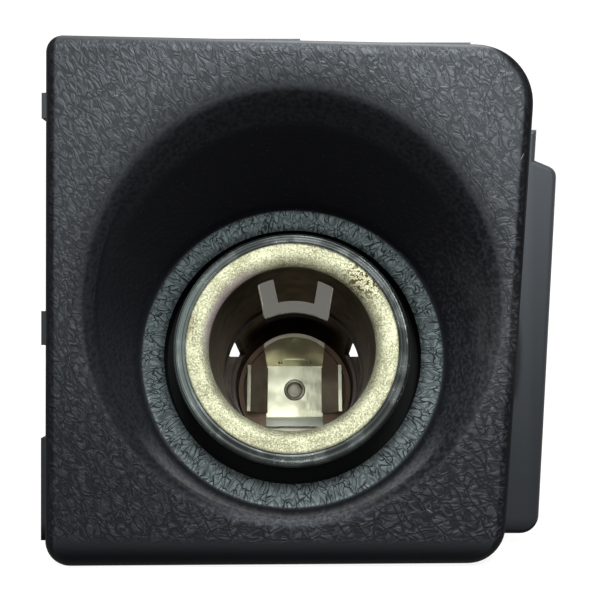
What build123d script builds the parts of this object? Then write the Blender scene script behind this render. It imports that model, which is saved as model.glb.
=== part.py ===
from build123d import *
import os
from math import atan2, cos, degrees, radians, sin, tan

# Car power socket: a steel barrel in a plastic sleeve, set at a tilt in a scooped trim panel.
# Millimetres. The origin is the mouth of the bore, +Z is up and the panel faces -Y.

# Socket axis, which leans up out of the panel's face, in degrees
socket_tilt = 15.0

# Steel barrel
bore_d = 21.0
bore_length = 18.5
rear_bore_d = 20.4
bore_step = 0.6
contact_depth = 40.5
barrel_wall = 0.8
mouth_round = 1.5
rim_d = 26.5
rim_edge_round = 0.3
rim_flat = 0.2
bottom_hole_d = 6.8

# Spring tongue in the top of the barrel, in its U slot, which is turned to the right in degrees
slot_start = 4.6
slot_length = 21.6
slot_width = 10.3
slot_round = 0.5
slot_turn = 2.2
tongue_length = 12.6
tongue_root_width = 6.1
tongue_tip_width = 5.5

# Windows in the sides of the barrel, for the sleeve's claws
window_start = 20.0
window_length = 14.5
window_width = 11.0
window_round = 0.6

# Contact clip at the bottom of the bore
clip_sheet = 0.6
clip_base_width = 10.1
clip_base_height = 9.7
clip_side_width = 8.2
clip_side_lean = 3.3
clip_side_rise = 2.4
clip_side_height = 3.6
petal_reach = 10.6
petal_tip_radius = 7.7
petal_width = 10.2
petal_pad_width = 3.6
petal_pad_length = 2.2
petal_pad_rise = 0.2
petal_pad_start = 1.0
petal_foot_reach = 2.2
petal_foot_rise = 0.45
bump_spacing = 5.2
bump_d = 0.9

# Hollow rivet and its washer
rivet_d = 3.1
rivet_bore_d = 2.6
rivet_bore_depth = 2.4
rivet_head_d = 3.8
rivet_head = 0.6
rivet_head_round = 0.2
rivet_clearance = 0.1
washer_d = 7.0
washer_thickness = 0.6

# Phenolic insulators
inner_insulator_thickness = 1.5
inner_insulator_gap = 0.15
insulator_rim_height = 1.6
insulator_rim_wall = 0.9
neck_clearance = 0.1
rear_insulator_d = 10.4
rear_insulator_thickness = 1.5

# Blade terminals
blade_sheet = 0.8
blade_width = 6.3
blade_spacing = 12.0
blade_reach = 8.5
blade_tip_chamfer = 1.2
bend_round = 0.9
positive_tail = 3.6
ground_foot = 3.1

# Connector shroud on the end of the barrel
cup_overlap = 5.6
cup_wall = 1.6
cup_grip_width = 16.0
cup_pocket_d = 18.8
cup_clearance = 0.1
cup_floor_gap = 0.4
cup_floor = 2.0
slit_clearance = 0.15
shroud_wall = 1.5
shroud_side_room = 2.6
shroud_height = 9.0
shroud_round = 1.2
shroud_past_blades = 2.0
latch_width = 5.0
latch_height = 1.4
latch_length = 4.0
latch_setback = 3.0

# Plastic sleeve, whose front is the collar round the rim
collar_wall = 1.45
collar_front = 1.1
collar_round = 0.6
seat_clearance = 0.1
seat_lead = 1.1
barrel_clearance = 0.1
shoulder_d = 37.0
shoulder_thickness = 2.25
sleeve_tube_d = 26.8
sleeve_tube_end = 12.0
tongue_room = 0.5
claw_root_width = 3.0
claw_tip_width = 9.8
claw_gap = 0.4
claw_wall = 1.5
claw_end_gap = 0.3
claw_hook_length = 3.0
claw_hook_inset = 0.2

# Trim panel: distances of its edges from the bore mouth, and how far the edges lean
panel_left = 29.9
panel_right = 29.8
panel_top = 38.05
panel_bottom = 26.5
left_lean = 0.1
right_lean = 4.1
top_fall = 1.3
bottom_rise = 0.37
corner_top_left = 2.2
corner_top_right = 7.2
corner_bottom_right = 4.8
corner_bottom_left = 3.2
inner_corner = 1.0
face_ahead = 4.45
face_wall = 2.5
edge_round = 2.0
skirt_depth = 18.0
skirt_wall = 2.2

# Scoop: a cone about the socket axis, with the ring floor at its bottom
floor_below_mouth = 3.25
floor_wall = 2.5
floor_d = 39.2
floor_hole_d = 33.4
floor_round = 0.8
scoop_angle = 29.5
scoop_wall = 2.2
lip_round = 2.0

# Hooks behind the floor that hold the sleeve's shoulder
hook_angles = (40.0, 140.0, 220.0, 320.0)
hook_arc = 24.0
hook_clearance = 0.2
hook_wall = 1.8
hook_barb = 1.2
hook_land = 0.8
hook_tip = 2.4
root_bite = 0.5

# Laps and tabs round the skirt, which tuck behind the neighbouring trim
lap_setback = 7.0
lap_thickness = 2.0
lap_reach = 5.45
lap_foot_reach = 6.05
lap_top = 24.0
lap_bottom = 24.5
lap_round = 1.5
lap_foot_round = 2.5
lap_shoulder = 1.2
lap_edge_round = 0.8
strip_reach = 2.6
strip_top = 28.0
top_lap_reach = 2.2
top_laps = ((-25.0, 1.0), (8.0, 23.0))
tab_reach = 2.5
left_tabs = ((29.3, 32.6), (0.0, 4.4), (-25.2, -12.0))

# Ribs between the scoop and the top of the skirt
rib_places = (-15.0, 0.0, 15.0)
rib_wall = 1.4
rib_height = 12.0

# Fins behind the skirt and their spring clips
fin_heights = (21.0, -9.0)
fin_width = 7.0
fin_length = 9.0
fin_wall = 2.0
clip_strip = 0.5
clip_width = 6.0
clip_bow = 1.6
clip_leg = 7.5
clip_slack = 0.1

# Levels along the bore axis, from the mouth inwards
clip_front_z = -contact_depth
clip_back_z = clip_front_z - clip_sheet
bottom_in_z = clip_back_z - inner_insulator_thickness
bottom_out_z = bottom_in_z - barrel_wall
rear_insulator_z = bottom_out_z - rear_insulator_thickness
positive_back_z = rear_insulator_z - blade_sheet
washer_back_z = positive_back_z - washer_thickness
rivet_back_z = washer_back_z - rivet_head
cup_in_z = rivet_back_z - cup_floor_gap
cup_out_z = cup_in_z - cup_floor
blade_tip_z = cup_out_z - blade_reach
shroud_end_z = blade_tip_z - shroud_past_blades
window_end_z = -window_start - window_length
seat_z = mouth_round - barrel_wall
floor_z = -floor_below_mouth
floor_back_z = floor_z - floor_wall
shoulder_back_z = floor_back_z - shoulder_thickness

# Radii that several pieces share
bore_r = bore_d / 2
barrel_r = bore_r + barrel_wall
rim_r = rim_d / 2
roll_r = min(mouth_round, rim_r - bore_r - rim_edge_round - rim_flat)
roll_back_r = max(roll_r - barrel_wall, rim_flat)
seat_r = rim_r + seat_clearance
collar_r = seat_r + collar_wall
rear_bore_r = rear_bore_d / 2
rear_barrel_r = rear_bore_r + barrel_wall
rivet_hole_r = rivet_d / 2 + rivet_clearance
hook_r = shoulder_d / 2 + hook_clearance

# Planes: the socket's own frame, the panel's face and the front of the laps
tilt = radians(socket_tilt)
socket_plane = Plane(origin=(0, 0, 0), x_dir=(1, 0, 0), z_dir=(0, -cos(tilt), sin(tilt)))
face_plane = Plane.XZ.offset(face_ahead)
lap_plane = face_plane.offset(-lap_setback)
skirt_back_y = skirt_depth - face_ahead

# How a solid that stands on its level is placed
standing = (Align.CENTER, Align.CENTER, Align.MIN)


def rounded_face(points, rounds):
    """A flat face with the corners named by their place in the list rounded."""
    face = make_face(Polyline(*points, close=True))
    for place, radius in rounds.items():
        face = fillet(face.vertices().sort_by_distance(points[place])[0], radius)
    return face


def turned(points, rounds={}):
    """A solid of revolution about the bore axis, from radius and height points."""
    return revolve(Plane.XZ * rounded_face(points, rounds), axis=Axis.Z)


def disc(radius, back_z, thickness):
    """A round plate on the bore axis."""
    return Pos(0, 0, back_z) * Cylinder(radius, thickness, align=standing)


def slab(face, low_z, high_z):
    """A flat face drawn in the socket's frame, raised between two levels."""
    return extrude(Pos(0, 0, low_z) * face, amount=high_z - low_z)


def bent_strip(plane, points, sheet, width):
    """A strip of sheet bent along points, its thickness to the left of the way along them."""
    strip = make_face(Polyline(*points).offset_2d(sheet, side=Side.LEFT))
    return extrude(plane * strip, amount=width / 2, both=True)


def span_rectangle(low_x, high_x, low_y, high_y):
    """A rectangle given by its sides."""
    return Pos(low_x, low_y) * Rectangle(high_x - low_x, high_y - low_y, align=(Align.MIN, Align.MIN))


# Steel barrel
def make_socket_barrel():
    """Drawn barrel with a rolled rim, a stepped bore, a tongue slot and two claw windows."""
    step_z = -bore_length - bore_step
    barrel = turned(
        (
            (bottom_hole_d / 2, bottom_in_z),
            (rear_bore_r, bottom_in_z),
            (rear_bore_r, step_z),
            (bore_r, -bore_length),
            (bore_r, mouth_round),
            (rim_r, mouth_round),
            (rim_r, seat_z),
            (barrel_r, seat_z),
            (barrel_r, -bore_length),
            (rear_barrel_r, step_z),
            (rear_barrel_r, bottom_out_z),
            (bottom_hole_d / 2, bottom_out_z),
        ),
        {4: roll_r, 5: rim_edge_round, 7: roll_back_r},
    )

    slot_end = slot_start + slot_length
    slot = rounded_face(
        (
            (-slot_width / 2, -slot_start),
            (slot_width / 2, -slot_start),
            (slot_width / 2, -slot_end),
            (-slot_width / 2, -slot_end),
        ),
        {0: slot_round, 1: slot_round, 2: slot_round, 3: slot_round},
    )
    tongue_tip = slot_start + tongue_length
    tongue = make_face(
        Polyline(
            (-tongue_root_width / 2, -slot_start),
            (tongue_root_width / 2, -slot_start),
            (tongue_tip_width / 2, -tongue_tip),
            (-tongue_tip_width / 2, -tongue_tip),
            close=True,
        )
    )
    barrel -= Rot(0, 0, -slot_turn) * extrude(Plane.XZ * (slot - tongue), amount=-rim_d)

    window = RectangleRounded(window_width, window_length, window_round)
    window_mid_z = -window_start - window_length / 2
    barrel -= extrude(Plane.YZ * Pos(0, window_mid_z) * window, amount=rim_d, both=True)
    return barrel


# Contact at the bottom of the bore
def make_contact_clip():
    """Spring clip: a plate with leaning sides, a curved petal above and a flared one below."""
    foot_x = clip_base_width / 2
    side_x = foot_x + clip_side_lean
    half = clip_base_height / 2
    petal_y = petal_tip_radius + clip_sheet
    sides = (
        (-side_x, clip_side_height),
        (-side_x, clip_side_rise),
        (-foot_x, 0),
        (foot_x, 0),
        (side_x, clip_side_rise),
        (side_x, clip_side_height),
    )
    lower_petal = (
        (-petal_y, petal_reach),
        (-half - petal_foot_reach, petal_foot_rise),
        (-half, 0),
        (clip_sheet - half, 0),
    )
    clip = Box(clip_base_width, clip_base_height, clip_sheet, align=standing)
    clip += bent_strip(Plane.XZ, sides, clip_sheet, clip_side_width)
    clip += bent_strip(Plane.YZ, lower_petal, clip_sheet, clip_base_width)
    tip_ring = Circle(petal_y) - Circle(petal_tip_radius)
    root = span_rectangle(-foot_x, foot_x, half - clip_sheet, half)
    tip = tip_ring & span_rectangle(-petal_width / 2, petal_width / 2, 0, rim_d)
    clip += loft([root, Pos(0, 0, petal_reach) * tip], ruled=True)
    lean = degrees(atan2(petal_y - half, petal_reach))
    inside = Pos(0, half - clip_sheet, 0) * Rot(-lean, 0, 0) * Pos(0, 0, petal_pad_start)
    clip += inside * Box(petal_pad_width, 2 * petal_pad_rise, petal_pad_length, align=standing)
    for side in (-1, 1):
        clip += inside * Pos(side * bump_spacing / 2, 0, petal_pad_length / 2) * Sphere(bump_d / 2)
    clip -= disc(rivet_hole_r, -clip_sheet, clip_sheet * 3)
    return Pos(0, 0, clip_back_z) * clip


def make_contact_rivet():
    """Hollow rivet through the clip, the insulators, the positive terminal and the washer."""
    head_front = clip_front_z + rivet_head
    points = (
        (0, head_front - rivet_bore_depth),
        (rivet_bore_d / 2, head_front - rivet_bore_depth),
        (rivet_bore_d / 2, head_front),
        (rivet_head_d / 2, head_front),
        (rivet_head_d / 2, clip_front_z),
        (rivet_d / 2, clip_front_z),
        (rivet_d / 2, washer_back_z),
        (rivet_head_d / 2, washer_back_z),
        (rivet_head_d / 2, rivet_back_z),
        (0, rivet_back_z),
    )
    return turned(points, {2: rivet_head_round, 3: rivet_head_round})


def make_rivet_washer():
    """Plain washer between the positive terminal and the rivet's rear head."""
    washer = disc(washer_d / 2, washer_back_z, washer_thickness)
    return washer - disc(rivet_hole_r, washer_back_z, washer_thickness)


def make_inner_insulator():
    """Phenolic dish in the bottom of the bore, with a neck through the barrel's bottom hole."""
    neck_r = bottom_hole_d / 2 - neck_clearance
    dish_r = rear_bore_r - inner_insulator_gap
    insulator = disc(dish_r, bottom_in_z, inner_insulator_thickness + insulator_rim_height)
    insulator -= disc(dish_r - insulator_rim_wall, clip_back_z, insulator_rim_height)
    insulator += disc(neck_r, bottom_out_z, barrel_wall)
    return insulator - disc(rivet_hole_r, bottom_out_z, barrel_wall + inner_insulator_thickness)


def make_rear_insulator():
    """Phenolic disc behind the barrel's bottom, under the positive terminal."""
    insulator = disc(rear_insulator_d / 2, rear_insulator_z, rear_insulator_thickness)
    return insulator - disc(rivet_hole_r, rear_insulator_z, rear_insulator_thickness)


# Blade terminals
def bent_blade(foot_front_z, foot_end_x, blade_x):
    """A sheet blade that runs back along the socket axis from a foot lying across it."""
    side = 1 if foot_end_x > blade_x else -1
    outer_x = blade_x - side * blade_sheet / 2
    inner_x = blade_x + side * blade_sheet / 2
    foot_back_z = foot_front_z - blade_sheet
    points = (
        (outer_x, foot_front_z),
        (foot_end_x, foot_front_z),
        (foot_end_x, foot_back_z),
        (inner_x, foot_back_z),
        (inner_x, blade_tip_z),
        (outer_x, blade_tip_z),
    )
    bent = extrude(Plane.XZ * rounded_face(points, {0: bend_round}), amount=blade_width / 2, both=True)
    outline = RectangleRounded(blade_width, foot_front_z - blade_tip_z, blade_tip_chamfer)
    middle_z = (foot_front_z + blade_tip_z) / 2
    return bent & extrude(Plane.YZ * Pos(0, middle_z) * outline, amount=rim_d, both=True)


def make_positive_terminal():
    """Brass blade held by the contact rivet."""
    terminal = bent_blade(rear_insulator_z, positive_tail, -blade_spacing / 2)
    return terminal - disc(rivet_hole_r, positive_back_z, blade_sheet)


def make_ground_terminal():
    """Brass blade welded to the barrel's bottom by its foot."""
    return bent_blade(bottom_out_z, blade_spacing / 2 + ground_foot - blade_sheet / 2, blade_spacing / 2)


# Connector shroud
def make_connector_shroud():
    """Cup that grips the barrel's end above and below, with an open shroud round the two blades."""
    cup_bore_r = rear_barrel_r + cup_clearance
    cup_r = cup_bore_r + cup_wall
    cup_front_z = bottom_out_z + cup_overlap
    shroud = turned(
        (
            (cup_bore_r, cup_front_z),
            (cup_r, cup_front_z),
            (cup_r, cup_out_z),
            (0, cup_out_z),
            (0, cup_in_z),
            (cup_pocket_d / 2, cup_in_z),
            (cup_pocket_d / 2, bottom_out_z),
            (cup_bore_r, bottom_out_z),
        ),
        {2: shroud_round},
    )
    shroud &= slab(Rectangle(cup_grip_width, 2 * cup_r) + Circle(rear_barrel_r), cup_out_z, cup_front_z)
    room_width = blade_spacing + blade_sheet + 2 * shroud_side_room
    room = RectangleRounded(room_width, shroud_height, shroud_round)
    wall = RectangleRounded(
        room_width + 2 * shroud_wall,
        shroud_height + 2 * shroud_wall,
        shroud_round + shroud_wall,
    )
    shroud += slab(wall - room, shroud_end_z, cup_out_z)

    slit = Rectangle(blade_sheet + 2 * slit_clearance, blade_width + 2 * slit_clearance)
    for side in (-1, 1):
        shroud -= slab(Pos(side * blade_spacing / 2, 0) * slit, cup_out_z, cup_in_z)

    latch_y = shroud_height / 2 + shroud_wall
    latch_end_z = shroud_end_z + latch_setback
    latch = make_face(
        Polyline(
            (latch_y - shroud_wall / 2, latch_end_z),
            (latch_y, latch_end_z),
            (latch_y + latch_height, latch_end_z + latch_length),
            (latch_y - shroud_wall / 2, latch_end_z + latch_length),
            close=True,
        )
    )
    shroud += extrude(Plane.YZ * latch, amount=latch_width / 2, both=True)
    return shroud


# Plastic sleeve
def make_socket_sleeve():
    """Sleeve with the collar in front, the shoulder behind the panel and two barrel claws."""
    sleeve_bore_r = barrel_r + barrel_clearance
    tube_r = sleeve_tube_d / 2
    sleeve = turned(
        (
            (sleeve_bore_r, -sleeve_tube_end),
            (sleeve_bore_r, seat_z - seat_lead),
            (barrel_r + roll_back_r, seat_z),
            (seat_r, seat_z),
            (seat_r, collar_front),
            (collar_r, collar_front),
            (collar_r, floor_back_z),
            (shoulder_d / 2, floor_back_z),
            (shoulder_d / 2, shoulder_back_z),
            (tube_r, shoulder_back_z),
            (tube_r, -sleeve_tube_end),
        ),
        {5: collar_round},
    )

    room_width = slot_width + 2 * tongue_room
    room = span_rectangle(-room_width / 2, room_width / 2, 0, tube_r)
    sleeve -= Rot(0, 0, -slot_turn) * slab(room & Circle(tube_r), -sleeve_tube_end, -slot_start + tongue_room)

    claw_in_r = barrel_r + claw_gap
    claw_end_z = window_end_z + claw_end_gap
    claw_root_z = -sleeve_tube_end + root_bite
    claw_ring = Circle(claw_in_r + claw_wall) - Circle(claw_in_r)
    hook_ring = Circle(claw_in_r + claw_wall) - Circle(bore_r + claw_hook_inset)
    blank = slab(claw_ring, claw_end_z, claw_root_z)
    blank += slab(hook_ring, claw_end_z, claw_end_z + claw_hook_length)
    claw_sides = make_face(
        Polyline(
            (-claw_root_width / 2, claw_root_z),
            (claw_root_width / 2, claw_root_z),
            (claw_tip_width / 2, claw_end_z),
            (-claw_tip_width / 2, claw_end_z),
            close=True,
        )
    )
    sleeve += blank & extrude(Plane.YZ * claw_sides, amount=shoulder_d, both=True)
    return sleeve


# Trim panel
def panel_outline(inset):
    """The panel's outline seen from the front, drawn in by a wall's thickness."""
    left_top_x = inset - panel_left
    left_bottom_x = inset - panel_left - left_lean
    right_top_x = panel_right - inset
    right_bottom_x = panel_right - right_lean - inset
    corners = (
        (left_top_x, panel_top - inset),
        (right_top_x, panel_top - top_fall - inset),
        (right_bottom_x, inset + bottom_rise - panel_bottom),
        (left_bottom_x, inset - panel_bottom),
    )
    rounds = (corner_top_left, corner_top_right, corner_bottom_right, corner_bottom_left)
    return rounded_face(corners, {place: max(r - inset, inner_corner) for place, r in enumerate(rounds)})


def edge_x(height, top_x, lean):
    """Where a leaning side of the panel is at a height."""
    return top_x - lean * (panel_top - height) / (panel_top + panel_bottom)


def right_x(height):
    """The right side's place at a height."""
    return edge_x(height, panel_right, right_lean)


def left_x(height):
    """The left side's place at a height."""
    return edge_x(height, -panel_left, left_lean)


def lap_solid(outline):
    """A plate at the laps' level."""
    return extrude(lap_plane * outline, amount=-lap_thickness)


def make_laps():
    """The lap flange on the right, the two laps on top and the three tabs on the left."""
    inset = skirt_wall / 2
    outline = rounded_face(
        (
            (right_x(strip_top) - inset, strip_top),
            (right_x(strip_top) + strip_reach, strip_top),
            (right_x(lap_top) + strip_reach, lap_top),
            (right_x(lap_top) + lap_reach, lap_top - lap_shoulder),
            (right_x(-lap_bottom) + lap_foot_reach, -lap_bottom),
            (right_x(-lap_bottom) - inset, -lap_bottom),
        ),
        {3: lap_round, 4: lap_foot_round},
    )
    laps = lap_solid(outline)
    laps = fillet(laps.faces().sort_by(Axis.Y)[0].edges(), lap_edge_round)
    for low_x, high_x in top_laps:
        top_z = panel_top - top_fall * (high_x + panel_left) / (panel_right + panel_left)
        laps += lap_solid(span_rectangle(low_x, high_x, top_z - inset, top_z + top_lap_reach))
    for low_z, high_z in left_tabs:
        tab_x = left_x(low_z)
        laps += lap_solid(span_rectangle(tab_x - tab_reach, tab_x + inset, low_z, high_z))
    return laps


def make_hooks():
    """Snap hooks behind the floor, over the sleeve's shoulder."""
    profile = make_face(
        Polyline(
            (hook_r, floor_back_z + root_bite),
            (hook_r + hook_wall, floor_back_z + root_bite),
            (hook_r + hook_wall, shoulder_back_z - hook_tip),
            (hook_r, shoulder_back_z - hook_tip),
            (hook_r - hook_barb, shoulder_back_z - hook_land),
            (hook_r - hook_barb, shoulder_back_z),
            (hook_r, shoulder_back_z),
            close=True,
        )
    )
    hook = revolve(Plane.XZ * profile, axis=Axis.Z, revolution_arc=hook_arc)
    return [Rot(0, 0, angle - hook_arc / 2) * hook for angle in hook_angles]


def fin_places():
    """Middle of each fin's root, on the back edge of the skirt, with the side it is on."""
    for height in fin_heights:
        yield left_x(height) + skirt_wall / 2, height
        yield right_x(height) - skirt_wall / 2, height


def make_trim_panel():
    """One moulding: face, scoop, ring floor, skirt, ribs, laps, hooks and fins."""
    block = extrude(face_plane * panel_outline(0), amount=-skirt_depth)
    block = fillet(block.faces().sort_by(Axis.Y)[0].edges(), edge_round)

    slope = tan(radians(scoop_angle))
    floor_r = floor_d / 2
    cone_height = skirt_depth + panel_top
    scoop = Cone(floor_r, floor_r + cone_height * slope, cone_height, align=standing)
    block -= socket_plane * Pos(0, 0, floor_z) * scoop
    face = block.faces().filter_by(Axis.Y).sort_by(Axis.Y)[0]
    block = fillet(face.inner_wires()[0].edges(), lip_round)
    circles = block.edges().filter_by(GeomType.CIRCLE)
    floor_edge = circles.filter_by(lambda edge: abs(edge.radius - floor_r) < floor_round / 2)
    block = fillet(floor_edge, floor_round)

    shell_r = floor_r + scoop_wall / cos(radians(scoop_angle)) - floor_wall * slope
    shell = Cone(shell_r, shell_r + cone_height * slope, cone_height, align=standing)
    cavity_depth = skirt_depth - face_wall
    cavity = extrude(face_plane.offset(-face_wall) * panel_outline(skirt_wall), amount=-cavity_depth)
    cavity -= socket_plane * Pos(0, 0, floor_back_z) * shell
    panel = block - cavity
    panel -= socket_plane * disc(floor_hole_d / 2, floor_back_z - floor_wall, floor_wall * 3)

    rib_plane = face_plane.offset(-face_wall + root_bite)
    rib_foot = floor_r * cos(tilt)
    for place in rib_places:
        rib = span_rectangle(place - rib_wall / 2, place + rib_wall / 2, rib_foot, panel_top)
        panel += extrude(rib_plane * rib, amount=-rib_height) & cavity

    for hook in make_hooks():
        panel += socket_plane * hook
    panel += make_laps() - extrude(lap_plane * panel_outline(skirt_wall), amount=-lap_thickness)
    for fin_x, height in fin_places():
        fin = Pos(fin_x, skirt_back_y - skirt_wall, height) * Box(
            fin_wall,
            fin_length + skirt_wall,
            fin_width,
            align=(Align.CENTER, Align.MIN, Align.CENTER),
        )
        panel += fin
    return panel


# Spring clips on the fins
def make_trim_clip(fin_x, height):
    """Folded spring clip over the end of a fin, its legs bowed out."""
    half = fin_wall / 2 + clip_slack
    tip_y = skirt_back_y + fin_length
    fold = (
        (-half, tip_y - clip_leg),
        (-half - clip_bow, tip_y - clip_leg / 2),
        (-half, tip_y),
        (half, tip_y),
        (half + clip_bow, tip_y - clip_leg / 2),
        (half, tip_y - clip_leg),
    )
    return Pos(fin_x, 0, height) * bent_strip(Plane.XY, fold, clip_strip, clip_width)


pieces = {"trim_panel": make_trim_panel()}
socket_pieces = {
    "socket_sleeve": make_socket_sleeve(),
    "socket_barrel": make_socket_barrel(),
    "contact_clip": make_contact_clip(),
    "contact_rivet": make_contact_rivet(),
    "inner_insulator": make_inner_insulator(),
    "rear_insulator": make_rear_insulator(),
    "rivet_washer": make_rivet_washer(),
    "positive_terminal": make_positive_terminal(),
    "ground_terminal": make_ground_terminal(),
    "connector_shroud": make_connector_shroud(),
}
for name, piece in socket_pieces.items():
    pieces[name] = socket_plane * piece
clip_names = ("upper_left", "upper_right", "lower_left", "lower_right")
for name, (fin_x, height) in zip(clip_names, fin_places()):
    pieces["trim_clip_" + name] = make_trim_clip(fin_x, height)

os.makedirs("parts", exist_ok=True)
for name, piece in pieces.items():
    export_step(piece, os.path.join("parts", name + ".step"))
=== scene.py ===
import math
from functools import reduce
from types import SimpleNamespace

import bpy
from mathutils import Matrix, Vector


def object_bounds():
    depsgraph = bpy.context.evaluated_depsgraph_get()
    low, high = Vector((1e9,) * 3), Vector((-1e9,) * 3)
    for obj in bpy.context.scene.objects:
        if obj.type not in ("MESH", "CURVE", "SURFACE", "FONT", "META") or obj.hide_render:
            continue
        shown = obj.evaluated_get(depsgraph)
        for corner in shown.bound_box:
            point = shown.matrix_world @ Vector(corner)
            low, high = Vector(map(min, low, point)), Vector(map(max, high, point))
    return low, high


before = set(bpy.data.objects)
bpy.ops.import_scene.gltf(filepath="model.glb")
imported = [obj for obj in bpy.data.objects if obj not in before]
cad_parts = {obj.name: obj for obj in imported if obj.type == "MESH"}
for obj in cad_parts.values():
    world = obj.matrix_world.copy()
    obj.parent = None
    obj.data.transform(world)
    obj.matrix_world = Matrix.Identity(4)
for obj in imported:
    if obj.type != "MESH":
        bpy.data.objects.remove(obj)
cad_low, cad_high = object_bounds()

# Lengths are in millimetres and angles in degrees, in the row's frame
MM = 0.001

# The camera: its place, and its focal length in pixels of the square picture
CAMERA_PLACE = (0.97, -88.45, 5.83)
FOCAL_PIXELS = 704.7
PICTURE_PIXELS = 600
SENSOR_WIDTH = 36.0
CLIP_NEAR = 1.0
CLIP_FAR = 10000.0

# The socket's axis and the sizes that the finishes change at
SOCKET_TILT = 15.0
FACE_Y = -4.45
FACE_DEPTH = 1.9
FLOOR_LEVEL = -3.25
FLOOR_RADIUS = 19.6
FLOOR_OUTER_RADIUS = 20.2
FLOOR_HOLE_RADIUS = 16.7
SCOOP_ANGLE = 29.5
RIM_LEVEL = 0.9
COLLAR_RIDGES = (13.62, 14.4)
COLLAR_RIDGE = 0.36

TILT = math.radians(SOCKET_TILT)
SOCKET_AXIS = Vector((0, -math.cos(TILT), math.sin(TILT)))
SOCKET_UP = Vector((0, math.sin(TILT), math.cos(TILT)))
ACROSS = Vector((1, 0, 0))
FRONT = Vector((0, -1, 0))
UP = Vector((0, 0, 1))

# The leather grain: size and slant at the upper left and at the lower right, stretch, and share of folds
UPRIGHT_GRAIN = 0.55
UPRIGHT_SLANT = 30.0
LYING_GRAIN = 0.70
LYING_SLANT = 100.0
GRAIN_STRETCH = 1.8
FOLD_SHARE = 0.7
# The creases across it, the wall's grain, the fine texture, the clouds, and the full depth
CREASE_SIZE = 1.9
CREASE_STRETCH = 2.2
WALL_GRAIN = 0.5
FINE_GRAIN = 0.14
PANEL_CLOUDS = 9.0
PANEL_RELIEF = 0.13
FINE_SHARE = 0.06

# The ring floor's cracked pebbles: their size, and how much they are squeezed outward
RING_PEBBLE = 0.62
RING_SQUEEZE = 0.55

# Where the face starts to fall away to its bottom edge and to the upper lip, and how tightly
FOOT_START = -22.2
FOOT_CURVE = 4.0
LIP_REACH = 5.0
LIP_CURVE = 8.0

# The panel's colours
FACE_DARK = (0.0120, 0.0135, 0.0160)
FACE_PALE = (0.0180, 0.0200, 0.0230)
# Painted shade in the face's creases and over the scoop's upper wall
CREASE_SHADE = (0.0060, 0.0062, 0.0075)
# A painted highlight on the ridges of the face's lower right
RIDGE_HIGHLIGHT = (0.044, 0.045, 0.051)
# Painted light on the scoop's lower and right wall and on the rolled lip
LIT_WALL_COLOUR = (0.110, 0.111, 0.113)
RING_DARK = (0.046, 0.062, 0.061)
RING_PALE = (0.064, 0.084, 0.082)
# Painted shade in the ring floor's cracks
CRACK_SHADE = (0.002, 0.003, 0.003)
PLAIN_DARK = (0.0095, 0.0110, 0.0130)
PLAIN_PALE = (0.0135, 0.0150, 0.0180)
# Painted shade where the panel looks down, on its foot, at its outer edge and on the scoop's steep sides
PAINTED_SHADE_COLOUR = (0.004, 0.004, 0.005)
DUST_COLOUR = (0.10, 0.10, 0.09)
SCRATCH_COLOUR = (0.16, 0.17, 0.17)
SPECK_COLOUR = (0.14, 0.10, 0.03)
# Painted shade in the dent
DENT_SHADE = (0.006, 0.006, 0.007)
PANEL_TINT = (0.84, 0.93, 1.0)

# The panel's roughness where it is plain, and in and out of its grain's creases
PLAIN_ROUGHNESS = (0.38, 0.52)
GRAIN_ROUGHNESS = (0.62, 0.50)
# The heights between which the panel's sheen grows, from what to what, and the ring's sheen below and above
SHEEN_HEIGHTS = (-27.0, 33.0)
SHEEN_RANGE = (0.22, 0.74)
RING_SHEEN = (0.65, 0.2)
# Roughness and sheen where shade is painted on the panel, and roughness in its dent
DULL_ROUGHNESS = 0.85
DULL_SHEEN = 0.06
DENT_ROUGHNESS = 0.62

# Scratches on the face: place across and up, half length, half width and slant
SCRATCHES = (
    (1.45, 34.6, 0.55, 0.07, 35.0),
    (3.6, 34.25, 0.45, 0.07, -20.0),
    (27.5, 22.95, 0.6, 0.08, 60.0),
    (-21.0, 30.2, 0.5, 0.05, 15.0),
    (16.4, -19.3, 0.7, 0.05, -35.0),
)
# A brown speck and a dull dent on the right, written the same way; the dent is darkened with painted shade
BROWN_SPECK = (24.2, 18.2, 0.25, 0.18, 0.0)
LIP_DENT = (22.3, 4.1, 1.3, 0.9, 80.0)

# The collar's colours (the worn colour also paints a highlight on its left, the gap colour is painted shade),
# the sizes of its worn patches, flecks and dust, its roughness, and its turned marks
COLLAR_BLACK = (0.010, 0.012, 0.012)
COLLAR_WEAR_AND_HIGHLIGHT = (0.15, 0.185, 0.175)
COLLAR_TINT = (0.90, 1.0, 0.97)
GAP_SHADE = (0.003, 0.003, 0.003)
DUSTY_DARK = (0.10, 0.075, 0.06)
DUSTY_PALE = (0.38, 0.31, 0.25)
COLLAR_PATCH = 3.0
COLLAR_FLECK = 0.24
COLLAR_DUST = 1.4
COLLAR_ROUGHNESS = (0.24, 0.5)
HIDDEN_ROUGHNESS = 0.55
TURNED_SCALE = 8.0
COLLAR_RELIEF = 0.09

# The barrel's colours: plated rim, then stained bore, and the tint of each at its grazing edge; the bore's
# top colour and tint are painted shade
PLATE_PALE = (0.52, 0.535, 0.388)
PLATE_SPECK = (0.23, 0.23, 0.148)
PIT_COLOUR = (0.075, 0.055, 0.02)
VIOLET_COLOUR = (0.46, 0.36, 0.44)
STAIN_DARK = (0.110, 0.092, 0.088)
STAIN_PALE = (0.165, 0.140, 0.132)
BORE_TOP_SHADE = (0.030, 0.026, 0.024)
RIM_TINT = (1.0, 1.0, 1.0)
BORE_TINT = (0.88, 0.82, 0.78)
BORE_TOP_SHADE_TINT = (0.55, 0.51, 0.48)
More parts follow.
